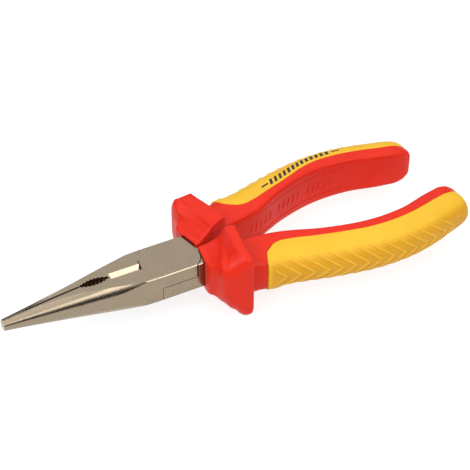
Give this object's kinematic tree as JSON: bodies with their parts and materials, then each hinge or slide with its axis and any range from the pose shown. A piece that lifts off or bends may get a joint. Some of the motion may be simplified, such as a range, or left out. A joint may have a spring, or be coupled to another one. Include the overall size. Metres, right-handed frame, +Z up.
{
  "type": "needle nose pliers",
  "caption": "Long nose pliers with a side cutter, a pipe grip, a riveted lap joint that opens, and insulating handles with flared finger guards and ribbed soft grips.",
  "frame": {"origin": "on the rivet's axis, in the plane of the head's underside", "axes": "+Z up along the rivet, square to the flat of the pliers; the tips point along -X and the handles along +X; +Y is towards the right handle"},
  "size_m": [0.16, 0.0578, 0.024],
  "materials": {
    "forged_steel": "satin nickel plate with fine polishing lines",
    "rivet_steel": "ground flush with the head",
    "hard_sleeve": "semi-gloss moulded red",
    "soft_grip": "satin yellow elastomer with chevron ribs"
  },
  "bodies": {
    "right_half": {"right_lever": "forged_steel", "pivot_rivet": "rivet_steel", "right_sleeve": "hard_sleeve", "right_grip": "soft_grip"},
    "left_half": {"left_lever": "forged_steel", "left_sleeve": "hard_sleeve", "left_grip": "soft_grip"}
  },
  "joints": [
    {"name": "pivot", "type": "hinge", "parent": "right_half", "child": "left_half", "pos_m": [0, 0, 0.00485], "axis": [0, 0, -1], "range_deg": [0, 45]}
  ]
}
